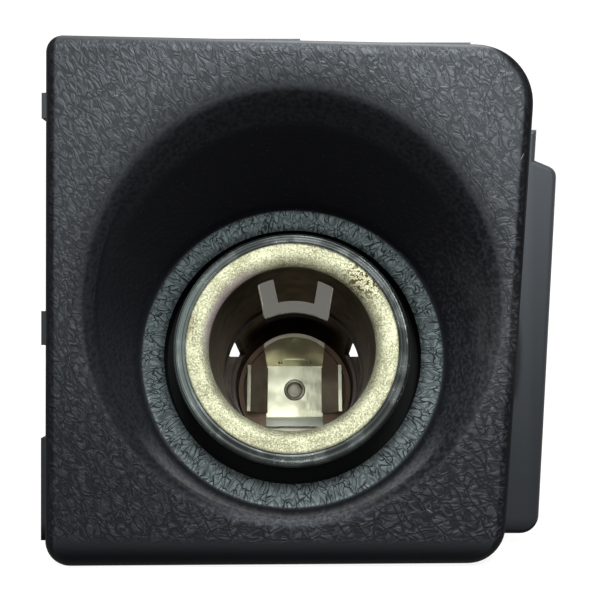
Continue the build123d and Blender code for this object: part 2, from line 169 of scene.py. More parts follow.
# The barrel's roughness, and the sizes of its specks, clouds, pits and pitted fields
BORE_ROUGHNESS = (0.3, 0.42)
RIM_ROUGHNESS = 0.66
RIM_SPECK = 0.20
BARREL_CLOUDS = 2.4
PIT_SIZE = 0.40
PIT_FIELD = 5.0
RIM_RELIEF = 0.06

# A pitted patch on the rim, and the direction in which its rolled edge has a violet tint
PITTED_PLACE = (9.3, 0.97, 8.64)
PITTED_REACH = (4.0, 1.2)
TINT_DIRECTION = (-0.85, 0.14, 0.51)

# Brushed sheet: the stretch, size and depth of its streaks, and the size of its clouds
BRUSH_STRETCH = (6.0, 1.0, 0.8)
BRUSH_SIZE = 1.6
BRUSH_RELIEF = 0.006
SHEET_CLOUDS = 2.2

# Plain sheets: pale colour, dark colour and least roughness
RIVET_PLATE = ((0.32, 0.32, 0.25), (0.22, 0.22, 0.17), 0.34)
TERMINAL_BRASS = ((0.80, 0.62, 0.30), (0.58, 0.42, 0.19), 0.3)
TRIM_CLIP_STEEL = ((0.60, 0.61, 0.60), (0.40, 0.41, 0.41), 0.3)
SHEET_ROUGHNESS_SPREAD = 0.14

# The contact clip's colours: plate, a painted highlight on its left and right edge, upper petal, lower petal,
# and stained sides
CLIP_PALE = (0.54, 0.565, 0.415)
CLIP_DARK = (0.40, 0.41, 0.295)
CLIP_HIGHLIGHT = (0.80, 0.83, 0.62)
UPPER_PETAL = (0.45, 0.42, 0.33)
LOWER_PETAL = (0.26, 0.28, 0.23)
CLIP_STAIN_DARK = (0.32, 0.27, 0.20)
CLIP_STAIN_PALE = (0.62, 0.54, 0.42)
CLIP_ROUGHNESS = (0.28, 0.4)
CLIP_STAIN_ROUGHNESS = 0.5

# The insulating board's colours, clouds and roughness, and the stretch, size and depth of its fibres
BOARD_DARK = (0.36, 0.23, 0.14)
BOARD_PALE = (0.58, 0.40, 0.27)
BOARD_CLOUD = (0.40, 0.28, 0.19)
BOARD_CLOUDS = 3.0
BOARD_ROUGHNESS = (0.42, 0.58)
FIBRE_STRETCH = (1.0, 1.0, 7.0)
FIBRE_SIZE = 1.0
FIBRE_RELIEF = 0.02

# The connector's colours, clouds and roughness, and the size and depth of its texture
CONNECTOR_DARK = (0.020, 0.020, 0.021)
CONNECTOR_PALE = (0.034, 0.034, 0.035)
CONNECTOR_CLOUDS = 7.0
CONNECTOR_ROUGHNESS = (0.46, 0.62)
CONNECTOR_GRAIN = 0.28
CONNECTOR_RELIEF = 0.03

# The paper sweep: half its width, its front edge, its wall and the wall's top, and the bend between them
PAPER_HALF_WIDTH = 4000.0
PAPER_FRONT = -6000.0
PAPER_WALL = 260.0
PAPER_TOP = 1500.0
PAPER_BEND = 90.0
BEND_STEPS = 16

# The paper's colour and its own glow, and the same for the shaded patch behind the object
PAPER_COLOUR = (0.170, 0.161, 0.145)
PAPER_GLOW = 0.9
SHADE_COLOUR = (0.085, 0.081, 0.072)
SHADE_GLOW = 0.03
# The shaded patch: its middle, how much each axis counts, and its inner and outer reach
SHADE_PLACE = (-1.1, 238.0, 5.5)
SHADE_SCALE = (1.0, 0.5, 1.6)
SHADE_REACH = (22.0, 31.0)

# The room past the paper: its colour, how pale it looks, and how strongly it lights the object
ROOM_COLOUR = (1.0, 1.0, 1.0)
ROOM_GLOW = 0.8
ROOM_LIGHT = 0.2

# Square lamps: name, place, target, size and power in watts
LAMPS = (
    ("key_light", (40, -308, 298), (0, 0, 0), 150, 2.05),
    ("window_light", (80, -360, 150), (0, 0, 0), 360, 0.52),
    ("side_light", (-280, -160, 150), (0, 0, 0), 100, 0.19),
    ("back_light", (60, 140, 420), (0, 25, 0), 260, 0.65),
    ("rear_left_light", (-210, 205, 150), (0, 30, 0), 160, 0.6),
    ("rear_right_light", (190, 205, 110), (0, 30, 0), 160, 0.35),
)


# Node helpers
def put(tree, socket, value):
    """Sets an input to a number or colour, or links it to another node's output."""
    if isinstance(value, bpy.types.NodeSocket):
        tree.links.new(value, socket)
    elif isinstance(value, (tuple, list)) and len(value) == 3 and socket.type == "RGBA":
        socket.default_value = (*value, 1.0)
    else:
        socket.default_value = value


def make(tree, kind, inputs, **settings):
    """A node with its settings and inputs filled in."""
    made = tree.nodes.new(kind)
    for key, value in settings.items():
        setattr(made, key, value)
    for key, value in inputs.items():
        put(tree, made.inputs[key], value)
    return made


def math_node(tree, operation, first, second=0.0):
    """The result of one operation on numbers."""
    return make(tree, "ShaderNodeMath", {0: first, 1: second}, operation=operation).outputs[0]


def add(tree, *values):
    return reduce(lambda first, second: math_node(tree, "ADD", first, second), values)


def times(tree, *values):
    return reduce(lambda first, second: math_node(tree, "MULTIPLY", first, second), values)


def largest(tree, *values):
    return reduce(lambda first, second: math_node(tree, "MAXIMUM", first, second), values)


def less(tree, first, second):
    return math_node(tree, "SUBTRACT", first, second)


def size_of(tree, value):
    return math_node(tree, "ABSOLUTE", value)


def smooth(tree, value, start, end, low=0.0, high=1.0):
    """A value eased from low to high while the input goes from start to end."""
    inputs = {0: value, 1: start, 2: end, 3: low, 4: high}
    return make(tree, "ShaderNodeMapRange", inputs, interpolation_type="SMOOTHSTEP").outputs[0]


def mix_colour(tree, share, first, second):
    """A colour between two others."""
    return make(tree, "ShaderNodeMix", {0: share, 6: first, 7: second}, data_type="RGBA").outputs[2]


def mix_value(tree, share, first, second):
    """A number between two others."""
    return make(tree, "ShaderNodeMix", {0: share, 2: first, 3: second}, data_type="FLOAT").outputs[0]


def vector_node(tree, operation, inputs):
    """A vector operation; a product by a number has that number as input 3."""
    return make(tree, "ShaderNodeVectorMath", inputs, operation=operation).outputs


def offset_from(tree, place, middle):
    """The vector to a place from a middle given in millimetres."""
    return vector_node(tree, "SUBTRACT", {0: place, 1: Vector(middle) * MM})[0]


def dot(tree, vector, direction):
    """How far a vector reaches along a direction."""
    return vector_node(tree, "DOT_PRODUCT", {0: vector, 1: direction})["Value"]


def length(tree, vector):
    return vector_node(tree, "LENGTH", {0: vector})["Value"]


def along(tree, place, direction):
    """How far a place lies along a direction, in millimetres."""
    return times(tree, dot(tree, place, direction), 1 / MM)


def flat_place(tree, first, second):
    """A place on a plane."""
    return make(tree, "ShaderNodeCombineXYZ", {0: first, 1: second}).outputs[0]


def noise_node(tree, place, size, detail=2.0, roughness=0.5, space="3D"):
    """Cloudy noise whose patches are about the size given, in millimetres."""
    inputs = {"Vector": place, "Scale": 1 / (size * MM), "Detail": detail, "Roughness": roughness}
    return make(tree, "ShaderNodeTexNoise", inputs, noise_dimensions=space)


def noise(tree, place, size, detail=2.0, roughness=0.5, space="3D"):
    """The same noise as a number."""
    return noise_node(tree, place, size, detail, roughness, space).outputs[0]


def cells(tree, place, size):
    """Flat cells about the size given, in millimetres, as the distance to their borders."""
    inputs = {"Vector": place, "Scale": 1 / (size * MM)}
    settings = {"voronoi_dimensions": "2D", "feature": "DISTANCE_TO_EDGE"}
    return make(tree, "ShaderNodeTexVoronoi", inputs, **settings).outputs["Distance"]


def warped(tree, place, size, reach):
    """The flat place, pushed about by noise."""
    cloud = noise_node(tree, place, size, 0.0, space="2D").outputs["Color"]
    centred = vector_node(tree, "SUBTRACT", {0: cloud, 1: (0.5, 0.5, 0.5)})[0]
    push = vector_node(tree, "SCALE", {0: centred, 3: 2 * reach * MM})[0]
    return vector_node(tree, "ADD", {0: place, 1: push})[0]


def drawn_out(tree, flat, slant, stretch):
    """The flat place, turned and drawn out along one way."""
    inputs = {0: flat, 2: (0, 0, math.radians(slant)), 3: (1.0, stretch, 1.0)}
    return make(tree, "ShaderNodeMapping", inputs, vector_type="TEXTURE").outputs[0]


def squeezed(tree, place, factors):
    """The place, scaled along each axis."""
    return make(tree, "ShaderNodeMapping", {0: place, 3: factors}).outputs[0]


def bump(tree, height, depth, under=None):
    """A surface normal from a height of 0 to 1, with the full depth in millimetres, over another normal."""
    inputs = {"Distance": depth * MM, "Height": height}
    if under is not None:
        inputs["Normal"] = under
    return make(tree, "ShaderNodeBump", inputs).outputs[0]


def empty_material(name):
    """A new material without nodes."""
    material = bpy.data.materials.new(name)
    material.use_nodes = True
    material.node_tree.nodes.clear()
    return material, material.node_tree


def object_place(tree):
    return tree.nodes.new("ShaderNodeTexCoord").outputs["Object"]


def surface_normal(tree):
    return tree.nodes.new("ShaderNodeNewGeometry").outputs["Normal"]


def show(tree, shader):
    """Makes a shader the material's surface."""
    output = tree.nodes.new("ShaderNodeOutputMaterial")
    tree.links.new(shader, output.inputs["Surface"])


def finish_shader(tree, **inputs):
    """The material's shader, with its inputs filled in by their names, written with underscores."""
    named = {key.replace("_", " "): value for key, value in inputs.items()}
    show(tree, make(tree, "ShaderNodeBsdfPrincipled", named).outputs[0])


def socket_radius(tree, place):
    """Distance from the socket's axis, in millimetres."""
    part = vector_node(tree, "SCALE", {0: SOCKET_AXIS, 3: dot(tree, place, SOCKET_AXIS)})[0]
    aside = vector_node(tree, "SUBTRACT", {0: place, 1: part})[0]
    return times(tree, length(tree, aside), 1 / MM)


def mark(tree, place, across, up, half_length, half_width, slant):
    """A small oval mark on the face, 1 in its middle and 0 outside."""
    turn = math.radians(slant)
    offset = offset_from(tree, place, (across, 0, up))
    lengthwise = dot(tree, offset, Vector((math.cos(turn), 0, math.sin(turn))) / (half_length * MM))
    crosswise = dot(tree, offset, Vector((-math.sin(turn), 0, math.cos(turn))) / (half_width * MM))
    return smooth(tree, length(tree, flat_place(tree, lengthwise, crosswise)), 1.0, 0.5)


# The panel's material
def leather_grain(tree, flat, size, slant):
    """Moulded leather grain: wavy folds and pebbles drawn out aslant."""
    curled = warped(tree, drawn_out(tree, flat, slant, GRAIN_STRETCH), size * 1.5, size * 0.8)
    folds = smooth(tree, noise(tree, curled, size * 0.8, 1.0, space="2D"), 0.25, 0.75)
    pebbles = smooth(tree, cells(tree, curled, size), 0.0, 0.22)
    return add(tree, times(tree, folds, FOLD_SHARE), times(tree, pebbles, 1 - FOLD_SHARE))


def long_creases(tree, flat, size):
    """Winding creases across the grain, 0 in a crease and 1 beside it."""
    wander = warped(tree, drawn_out(tree, flat, UPRIGHT_SLANT, CREASE_STRETCH), size * 0.8, size * 0.5)
    return smooth(tree, cells(tree, wander, size), 0.0, 0.12)


def ring_cracks(tree, place, radius):
    """Flat pebbles on the ring floor, longer outward than around, with wavy cracks of uneven depth."""
    angle = math_node(tree, "ARCTAN2", dot(tree, place, ACROSS), dot(tree, place, -SOCKET_UP))
    around = times(tree, angle, 0.5 * (FLOOR_RADIUS + FLOOR_HOLE_RADIUS) * MM)
    polar = flat_place(tree, around, times(tree, radius, RING_SQUEEZE * MM))
    bent = warped(tree, warped(tree, polar, 1.1, 0.5), 0.4, 0.14)
    pebbles = smooth(tree, cells(tree, bent, RING_PEBBLE), 0.0, 0.14)
    closed = smooth(tree, noise(tree, polar, 1.3, 0.0, space="2D"), 0.38, 0.58, 0.6, 0.0)
    folds = smooth(tree, noise(tree, bent, 0.30, 1.0, space="2D"), 0.30, 0.60)
    return times(tree, largest(tree, pebbles, closed), mix_value(tree, folds, 0.55, 1.0))


def past_cone(tree, level, radius):
    """How far outside the scoop's cone a place is, in millimetres."""
    slope = math.radians(SCOOP_ANGLE)
    cone = add(tree, times(tree, level, math.tan(slope)), FLOOR_RADIUS - FLOOR_LEVEL * math.tan(slope))
    return times(tree, less(tree, radius, cone), math.cos(slope))


def face_fall(tree, at):
    """How far the face falls back, in millimetres, near its bottom edge and near the upper lip."""
    foot = largest(tree, less(tree, FOOT_START, at.height), 0.0)
    foot_fall = times(tree, foot, foot, 0.5 / FOOT_CURVE)
    lip = largest(tree, less(tree, LIP_REACH, at.outside), 0.0)
    lip = math_node(tree, "MINIMUM", lip, LIP_REACH)
    lip_fall = times(tree, lip, lip, 0.5 / LIP_CURVE, at.upper)
    return times(tree, add(tree, foot_fall, lip_fall), -1.0)


def panel_places(tree, place, normal):
    """Where a point of the panel is, in millimetres, and which way its surface faces."""
    at = SimpleNamespace()
    at.facing = dot(tree, normal, FRONT)
    at.upward = dot(tree, normal, UP)
    at.axial = dot(tree, normal, SOCKET_AXIS)
    at.sideways = size_of(tree, dot(tree, normal, ACROSS))
    at.across = along(tree, place, ACROSS)
    at.depth = along(tree, place, -FRONT)
    at.height = along(tree, place, UP)
    at.level = along(tree, place, SOCKET_AXIS)
    at.radius = socket_radius(tree, place)
    at.outside = past_cone(tree, at.level, at.radius)
    steepness = math_node(tree, "DIVIDE", along(tree, place, SOCKET_UP), at.radius)
    at.upper = smooth(tree, steepness, -0.5, 0.4)
    return at


def panel_areas(tree, at):
    """The panel's areas, each 1 inside and 0 outside."""
    on = SimpleNamespace()
    front = smooth(tree, at.depth, FACE_Y + FACE_DEPTH, FACE_Y + FACE_DEPTH * 0.6)
    on.face = times(tree, smooth(tree, at.facing, 0.74, 0.94), front)
    on.rolled = times(
        tree,
        smooth(tree, at.facing, 0.5, 0.75),
        smooth(tree, at.outside, 4.0, 2.0),
        smooth(tree, at.depth, FACE_Y + 2 * FACE_DEPTH, FACE_Y + FACE_DEPTH),
    )
    on.wall = times(
        tree,
        smooth(tree, at.level, FLOOR_LEVEL + 0.3, FLOOR_LEVEL + 1.6),
        smooth(tree, at.outside, 1.5, 0.5),
        smooth(tree, at.radius, 31.0, 29.0),
        smooth(tree, at.axial, 0.2, 0.4),
    )
    on.ring = times(
        tree,
        smooth(tree, at.radius, FLOOR_OUTER_RADIUS, FLOOR_OUTER_RADIUS - 0.6),
        smooth(tree, at.axial, 0.8, 0.97),
        smooth(tree, at.level, FLOOR_LEVEL + 1.0, FLOOR_LEVEL + 0.3),
    )
    above_foot = smooth(tree, at.height, FOOT_START - 1.4, FOOT_START)
    on.grained_face = times(tree, largest(tree, on.face, on.rolled, on.wall), above_foot)
    on.grained = largest(tree, on.grained_face, on.ring)
    on.scoop = times(
        tree,
        smooth(tree, largest(tree, on.face, on.rolled), 0.8, 0.0),
        smooth(tree, at.radius, 30.0, 29.0),
        smooth(tree, at.level, FLOOR_LEVEL - 1.2, FLOOR_LEVEL - 0.8),
        smooth(tree, on.ring, 0.8, 0.0),
    )
    # Painted shade, with a duller reflection: undersides, the foot, the outer edge and the scoop's steep
    # sides
    on.dull = largest(tree, under_side(tree, at), outer_edge(tree, at, front), scoop_shade(tree, at, on))
    on.lower_right = smooth(tree, less(tree, at.across, at.height), -4.0, 16.0)
    return on


def under_side(tree, at):
    """Surfaces that look down, and the face's foot, which get painted shade."""
    looks_down = smooth(tree, at.upward, 0.0, -0.4)
    return largest(tree, looks_down, smooth(tree, at.height, FOOT_START, FOOT_START - 3.0))


def outer_edge(tree, at, front):
    """The panel's outside near its face, which gets painted shade; it reaches less deep at the flange."""
    sides = times(tree, smooth(tree, at.sideways, 0.1, 0.35), front)
    edge = largest(tree, sides, times(tree, smooth(tree, at.facing, 0.75, 0.3), 0.8))
    reach = smooth(tree, at.across, 31.0, 30.6, 2.0, 12.0)
    return times(tree, edge, smooth(tree, less(tree, at.depth, reach), 0.0, -1.0))


def scoop_shade(tree, at, on):
    """The scoop's steep sides, which are kept dark with painted shade."""
    return times(tree, on.scoop, smooth(tree, at.upward, 0.6, 0.0, 0.0, 0.6))


def panel_leather(tree, place, on):
    """The grain of the face and of the scoop's wall, 0 in its creases and about 1 on its pebbles."""
    flat = flat_place(tree, dot(tree, place, ACROSS), dot(tree, place, UP))
    upright = leather_grain(tree, flat, UPRIGHT_GRAIN, UPRIGHT_SLANT)
    lying = leather_grain(tree, flat, LYING_GRAIN, LYING_SLANT)
    leather = mix_value(tree, on.lower_right, upright, lying)
    leather = times(tree, leather, mix_value(tree, long_creases(tree, flat, CREASE_SIZE), 0.35, 1.0))
    wall_grain = smooth(tree, noise(tree, place, WALL_GRAIN, 1.0), 0.25, 0.75, 0.4, 0.75)
    return mix_value(tree, on.wall, leather, wall_grain)


def face_colour(tree, at, on, leather, clouds):
    """The grained face: painted shade in its creases and over the scoop's upper wall, a painted highlight on
    the ridges at its lower right, and painted light on the scoop's lit wall.
    """
    colour = mix_colour(tree, clouds, FACE_DARK, FACE_PALE)
    # Painted shade: the crease colour fills the creases and the scoop's whole upper wall
    pebbled = smooth(tree, leather, 0.25, 0.75)
    pebbled = mix_value(tree, times(tree, on.scoop, at.upper), pebbled, 0.0)
    colour = mix_colour(tree, pebbled, CREASE_SHADE, colour)
    # A painted highlight on the ridges of the face's lower right
    ridges = times(tree, smooth(tree, leather, 0.5, 0.85), on.lower_right, 0.45)
    colour = mix_colour(tree, ridges, colour, RIDGE_HIGHLIGHT)

    # Painted light: the lower wall, the right wall and the rolled lip are made paler where light falls on
    # them
    above_floor = smooth(tree, at.level, FLOOR_LEVEL + 0.2, FLOOR_LEVEL + 3.2)
    lower_wall = times(tree, above_floor, smooth(tree, at.upward, 0.5, 0.8))
    right_wall = times(
        tree,
        smooth(tree, at.level, 0.8, 3.6),
        smooth(tree, at.across, 14.0, 20.0),
        smooth(tree, at.height, 14.0, 0.0, 0.0, 0.25),
    )
    lit = times(
        tree,
        largest(tree, lower_wall, right_wall),
        smooth(tree, leather, 0.1, 0.8, 0.5, 1.0),
        largest(tree, on.scoop, times(tree, on.rolled, 0.7)),
    )
    return mix_colour(tree, lit, colour, LIT_WALL_COLOUR)


def panel_marks(tree, place, on, colour, dent):
    """Adds the face's scratches, its brown speck and its dent, darkened with painted shade, to a colour."""
    for scratch in SCRATCHES:
        colour = mix_colour(tree, times(tree, mark(tree, place, *scratch), on.face), colour, SCRATCH_COLOUR)
    colour = mix_colour(tree, times(tree, mark(tree, place, *BROWN_SPECK), on.face), colour, SPECK_COLOUR)
    # Painted shade in the dent
    return mix_colour(tree, times(tree, dent, 0.6), colour, DENT_SHADE)


def panel_sheen(tree, at, on, leather, ring_sheen):
    """Strength of the panel's reflection: more at the top, less at the left, on the flange and in creases."""
    by_height = smooth(tree, at.height, *SHEEN_HEIGHTS, *SHEEN_RANGE)
    sheen = times(
        tree,
        add(tree, by_height, smooth(tree, at.upward, 0.1, 0.6, 0.0, 0.1)),
        smooth(tree, at.across, -30.0, 0.0, 0.78, 1.04),
        smooth(tree, at.across, 30.0, 31.5, 1.0, 0.8),
        mix_value(tree, at.upper, 1.0, smooth(tree, at.outside, -0.6, 2.4, 0.2, 1.0)),
        mix_value(tree, on.grained_face, 1.0, smooth(tree, leather, 0.2, 0.65, 0.72, 1.0)),
    )
    sheen = mix_value(tree, on.ring, sheen, ring_sheen)
    return mix_value(tree, on.dull, sheen, DULL_SHEEN)


def panel_plastic():
    """Dark grey moulding: leather grain on the face and ring floor, smooth in the scoop and outside."""
    material, tree = empty_material("panel_plastic")
    place = object_place(tree)
    at = panel_places(tree, place, surface_normal(tree))
    on = panel_areas(tree, at)
    leather = panel_leather(tree, place, on)
    cracks = ring_cracks(tree, place, at.radius)
    grain = mix_value(tree, on.ring, leather, cracks)
    fine = noise(tree, place, FINE_GRAIN, 1.0)
    clouds = noise(tree, place, PANEL_CLOUDS, 3.0)

    strength = mix_value(tree, on.ring, smooth(tree, at.height, 24.0, -12.0, 0.6, 1.9), 0.55)
    relief = times(tree, grain, strength, on.grained, 1 - FINE_SHARE)
    relief = add(tree, relief, times(tree, fine, FINE_SHARE))

    # Painted shade: the crack colour fills the ring's cracks, and ring_shade darkens the ring next to its
    # hole, where the collar shades it, in colour and sheen
    ring_shade = smooth(tree, at.radius, FLOOR_HOLE_RADIUS, FLOOR_HOLE_RADIUS + 1.3, 0.35, 1.0)
    ring_colour = mix_colour(tree, clouds, RING_DARK, RING_PALE)
    ring_colour = mix_colour(tree, times(tree, cracks, ring_shade), CRACK_SHADE, ring_colour)
    ring_sheen = times(tree, mix_value(tree, at.upper, *RING_SHEEN), ring_shade)
    ring_sheen = times(tree, ring_sheen, mix_value(tree, cracks, 0.3, 1.0))

    # Painted shade where the panel looks down, on its foot, at its outer edge and on the scoop's steep sides
    colour = mix_colour(tree, on.dull, mix_colour(tree, clouds, PLAIN_DARK, PLAIN_PALE), PAINTED_SHADE_COLOUR)
    colour = mix_colour(tree, on.grained_face, colour, face_colour(tree, at, on, leather, clouds))
    colour = mix_colour(tree, on.ring, colour, ring_colour)
    colour = mix_colour(tree, times(tree, smooth(tree, fine, 0.74, 0.80), on.scoop), colour, DUST_COLOUR)
    dent = mark(tree, place, *LIP_DENT)

    plain_rough = smooth(tree, add(tree, fine, clouds), 0.7, 1.3, *PLAIN_ROUGHNESS)
    rough = mix_value(tree, on.grained, plain_rough, mix_value(tree, grain, *GRAIN_ROUGHNESS))
    rough = mix_value(tree, on.dull, rough, DULL_ROUGHNESS)
    finish_shader(
        tree,
        Base_Color=panel_marks(tree, place, on, colour, dent),
        Roughness=mix_value(tree, dent, rough, DENT_ROUGHNESS),
        Specular_IOR_Level=panel_sheen(tree, at, on, leather, ring_sheen),
        Specular_Tint=PANEL_TINT,
        Normal=bump(tree, relief, PANEL_RELIEF, bump(tree, face_fall(tree, at), 1.0)),
    )
    return material


# The other materials
def sleeve_plastic():
    """Black collar plastic: glossy, ridged and scratched in front with a painted highlight on its left, black
    with painted shade in the gap, dusty deep inside.
    """
    material, tree = empty_material("sleeve_plastic")
    place = object_place(tree)
    radius = socket_radius(tree, place)
    level = along(tree, place, SOCKET_AXIS)
    inputs = {"Vector": flat_place(tree, radius, level), "Scale": TURNED_SCALE, "Detail": 3.0}
    turned = make(tree, "ShaderNodeTexNoise", inputs).outputs[0]
    patches = smooth(tree, noise(tree, place, COLLAR_PATCH), 0.38, 0.62)
    scratches = times(tree, smooth(tree, turned, 0.54, 0.64), patches)
    flecks = smooth(tree, noise(tree, place, COLLAR_FLECK, 1.0), 0.64, 0.74)
    dust = largest(tree, times(tree, flecks, patches), times(tree, scratches, 0.5))
    front = smooth(tree, level, -0.6, 0.4)
    off_ridges = [size_of(tree, less(tree, radius, middle)) for middle in COLLAR_RIDGES]
    ridges = add(tree, *[smooth(tree, off, COLLAR_RIDGE, 0.0) for off in off_ridges])
    height = add(tree, times(tree, ridges, front, 0.8), times(tree, turned, 0.14))

    # Painted shade in the gap between the collar and the ring floor, with little reflection
    shaded_gap = times(tree, smooth(tree, level, -0.8, -3.4), smooth(tree, radius, 14.0, 14.6))
    deep = times(tree, smooth(tree, level, -12.0, -18.0), smooth(tree, radius, 12.9, 12.2))
    dusty = mix_colour(tree, noise(tree, place, COLLAR_DUST, 3.0), DUSTY_DARK, DUSTY_PALE)
    # A painted highlight on the collar's left, mixed with its real wear and dust
    left_highlight = smooth(tree, along(tree, place, ACROSS), -8.5, -13.0)
    wear_and_highlight = largest(tree, dust, times(tree, left_highlight, smooth(tree, turned, 0.42, 0.58, 0.15, 0.8)))
    colour = mix_colour(tree, times(tree, wear_and_highlight, front), COLLAR_BLACK, COLLAR_WEAR_AND_HIGHLIGHT)
    # Painted shade in the gap
    colour = mix_colour(tree, shaded_gap, colour, GAP_SHADE)
    gloss = smooth(tree, turned, 0.35, 0.65, *COLLAR_ROUGHNESS)
    finish_shader(
        tree,
        Base_Color=mix_colour(tree, deep, colour, dusty),
        Roughness=mix_value(tree, largest(tree, deep, shaded_gap), gloss, HIDDEN_ROUGHNESS),
        Specular_IOR_Level=mix_value(tree, shaded_gap, smooth(tree, patches, 0.0, 1.0, 0.2, 0.5), 0.05),
        Specular_Tint=COLLAR_TINT,
        Normal=bump(tree, height, COLLAR_RELIEF),
    )
    return material


def plated_steel():
    """Champagne plated steel: a speckled matte rim with a pitted patch, and a dark stained bore with painted
    shade at its top.
    """
    material, tree = empty_material("plated_steel")
    place = object_place(tree)
    level = along(tree, place, SOCKET_AXIS)
    radius = socket_radius(tree, place)
    rim = largest(tree, smooth(tree, level, -0.5, 0.25 * RIM_LEVEL), smooth(tree, radius, 10.75, 11.0))
    fine = noise(tree, place, RIM_SPECK, 3.0, 0.7)
    broad = noise(tree, place, BARREL_CLOUDS)
    specks = smooth(tree, add(tree, fine, times(tree, broad, 0.3)), 0.5, 0.78)
    plate = mix_colour(tree, specks, PLATE_PALE, PLATE_SPECK)

    away = length(tree, offset_from(tree, place, PITTED_PLACE))
    patch = smooth(tree, away, PITTED_REACH[0] * MM, PITTED_REACH[1] * MM)
    scattered = times(tree, smooth(tree, noise(tree, place, PIT_FIELD), 0.55, 0.7), 0.4)
    pits = smooth(tree, noise(tree, place, PIT_SIZE), 0.47, 0.56)
    plate = mix_colour(tree, times(tree, pits, largest(tree, patch, scattered)), plate, PIT_COLOUR)
    aside = vector_node(tree, "NORMALIZE", {0: place})[0]
    violet_side = smooth(tree, dot(tree, aside, TINT_DIRECTION), 0.75, 0.95)
    violet = times(tree, violet_side, smooth(tree, radius, 11.4, 10.8), 0.5)
    plate = mix_colour(tree, violet, plate, VIOLET_COLOUR)

    # Painted shade at the bore's top, in its colour and in its reflection's tint
    shaded_top = smooth(tree, along(tree, place, SOCKET_UP), 2.0, 8.0)
    stain = mix_colour(tree, shaded_top, mix_colour(tree, broad, STAIN_DARK, STAIN_PALE), BORE_TOP_SHADE)
    bore_tint_and_shade = mix_colour(tree, shaded_top, BORE_TINT, BORE_TOP_SHADE_TINT)
    bore_rough = smooth(tree, broad, 0.3, 0.7, *BORE_ROUGHNESS)
    finish_shader(
        tree,
        Base_Color=mix_colour(tree, rim, stain, plate),
        Metallic=1.0,
        Specular_Tint=mix_colour(tree, rim, bore_tint_and_shade, RIM_TINT),
        Roughness=mix_value(tree, rim, bore_rough, RIM_ROUGHNESS),
        Normal=bump(tree, times(tree, fine, rim), RIM_RELIEF),
    )
    return material


def brushed_metal(tree, place, pale, dark):
    """Colour of a plated sheet brushed one way, with the clouds and streaks that it follows."""
    streaks = noise(tree, squeezed(tree, place, BRUSH_STRETCH), BRUSH_SIZE)
    clouds = noise(tree, place, SHEET_CLOUDS)
    share = smooth(tree, add(tree, streaks, clouds), 0.75, 1.3)
    return mix_colour(tree, share, pale, dark), clouds, streaks


def sheet_metal(name, pale, dark, rough):
    """Plain plated or brass sheet."""
    material, tree = empty_material(name)
    colour, clouds, streaks = brushed_metal(tree, object_place(tree), pale, dark)
    finish_shader(
        tree,
        Base_Color=colour,
        Metallic=1.0,
        Roughness=smooth(tree, clouds, 0.3, 0.7, rough, rough + SHEET_ROUGHNESS_SPREAD),
        Normal=bump(tree, streaks, BRUSH_RELIEF),
    )
    return material


def clip_steel():
    """The contact clip's spring steel: a painted highlight on the left of its plate and on its right edge,
    stained on its leaning sides.
    """
    material, tree = empty_material("clip_steel")
    place = object_place(tree)
    colour, clouds, streaks = brushed_metal(tree, place, CLIP_PALE, CLIP_DARK)
    across = along(tree, place, ACROSS)
    up = along(tree, place, SOCKET_UP)
    # A painted highlight on the left of the clip's plate and along its right edge
    left_highlight = times(tree, smooth(tree, across, 2.6, -0.6), smooth(tree, across, -5.4, -4.8))
    painted_highlight = largest(tree, left_highlight, smooth(tree, across, 5.6, 6.2))
    colour = mix_colour(tree, painted_highlight, colour, CLIP_HIGHLIGHT)
    colour = mix_colour(tree, smooth(tree, up, 4.0, 6.5), colour, UPPER_PETAL)
    colour = mix_colour(tree, smooth(tree, up, -4.6, -5.2), colour, LOWER_PETAL)
    stain = mix_colour(tree, clouds, CLIP_STAIN_DARK, CLIP_STAIN_PALE)
    stained = smooth(tree, size_of(tree, dot(tree, surface_normal(tree), ACROSS)), 0.25, 0.5)
    clean_rough = smooth(tree, clouds, 0.3, 0.7, *CLIP_ROUGHNESS)
    finish_shader(
        tree,
        Base_Color=mix_colour(tree, stained, colour, stain),
        Metallic=1.0,
        Roughness=mix_value(tree, stained, clean_rough, CLIP_STAIN_ROUGHNESS),
        Normal=bump(tree, streaks, BRUSH_RELIEF),
    )
    return material


def phenolic_board():
    """Brown laminated insulating board with a fibrous face."""
    material, tree = empty_material("phenolic_board")
    place = object_place(tree)
    fibres = noise(tree, squeezed(tree, place, FIBRE_STRETCH), FIBRE_SIZE, 4.0)
    clouds = noise(tree, place, BOARD_CLOUDS)
    colour = mix_colour(tree, fibres, BOARD_DARK, BOARD_PALE)
    finish_shader(
        tree,
        Base_Color=mix_colour(tree, smooth(tree, clouds, 0.4, 0.7), colour, BOARD_CLOUD),
        Roughness=smooth(tree, clouds, 0.3, 0.7, *BOARD_ROUGHNESS),
        Normal=bump(tree, fibres, FIBRE_RELIEF),
    )
    return material


def connector_plastic():
    """Matte black moulding with a fine spark-eroded texture."""
    material, tree = empty_material("connector_plastic")
    place = object_place(tree)
    fine = noise(tree, place, CONNECTOR_GRAIN, 3.0, 0.6)
    clouds = noise(tree, place, CONNECTOR_CLOUDS)
    finish_shader(
        tree,
        Base_Color=mix_colour(tree, clouds, CONNECTOR_DARK, CONNECTOR_PALE),
        Roughness=smooth(tree, fine, 0.3, 0.7, *CONNECTOR_ROUGHNESS),
        Normal=bump(tree, fine, CONNECTOR_RELIEF),
    )
    return material


